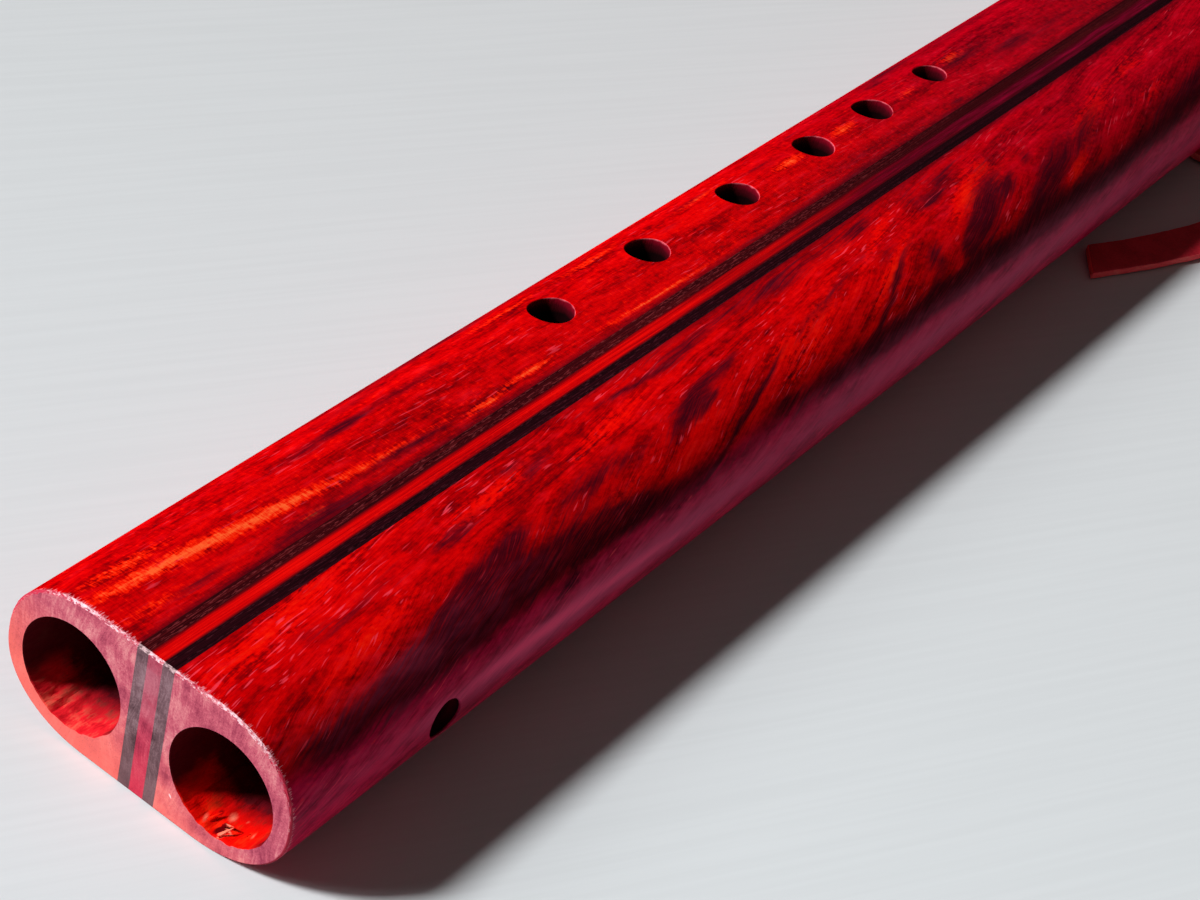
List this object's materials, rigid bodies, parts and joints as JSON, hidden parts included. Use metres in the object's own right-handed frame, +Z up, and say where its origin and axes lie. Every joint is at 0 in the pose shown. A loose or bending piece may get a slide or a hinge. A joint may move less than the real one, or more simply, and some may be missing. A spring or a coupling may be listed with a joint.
{
  "type": "native american flute",
  "caption": "Wooden drone flute: melody and drone barrels glued side by side, with sliding blocks tied down by a flat leather lace.",
  "frame": {"origin": "middle of the flute's length, on the plane it rests on, in the plane of the centre strip", "axes": "+X from the open foot to the mouth end, +Y towards the melody barrel, +Z up through the finger holes"},
  "size_m": [0.62, 0.0918, 0.0453],
  "materials": {
    "melody_wood": "red-dyed figured hardwood under a thin satin finish",
    "drone_wood": "red-dyed figured hardwood with wine-dark bands under a thin satin finish",
    "dark_strip_wood": "dark open-grained hardwood strip, satin",
    "centre_strip_wood": "red-dyed hardwood strip, satin",
    "plug_wood": "bare pale hardwood",
    "mouthpiece_wood": "dark open-grained hardwood, satin",
    "block_wood": "dark open-grained hardwood, satin",
    "lace_leather": "flat red garment leather lace with raw cut edges"
  },
  "bodies": {
    "flute_body": {"melody_barrel": "melody_wood", "drone_barrel": "drone_wood", "melody_dark_strip": "dark_strip_wood", "centre_strip": "centre_strip_wood", "drone_dark_strip": "dark_strip_wood", "melody_plug": "plug_wood", "drone_plug": "plug_wood", "mouthpiece": "mouthpiece_wood", "lace_winding": "lace_leather", "lace_knot": "lace_leather", "lace_long_tail": "lace_leather", "lace_short_tail": "lace_leather"},
    "melody_block": {"melody_block": "block_wood"},
    "drone_block": {"drone_block": "block_wood"}
  },
  "joints": [
    {"name": "melody_block_slide", "type": "slide", "parent": "flute_body", "child": "melody_block", "axis": [-1, 0, 0], "range_m": [-0.004, 0.003]},
    {"name": "drone_block_slide", "type": "slide", "parent": "flute_body", "child": "drone_block", "axis": [-1, 0, 0], "range_m": [-0.004, 0.003]}
  ]
}
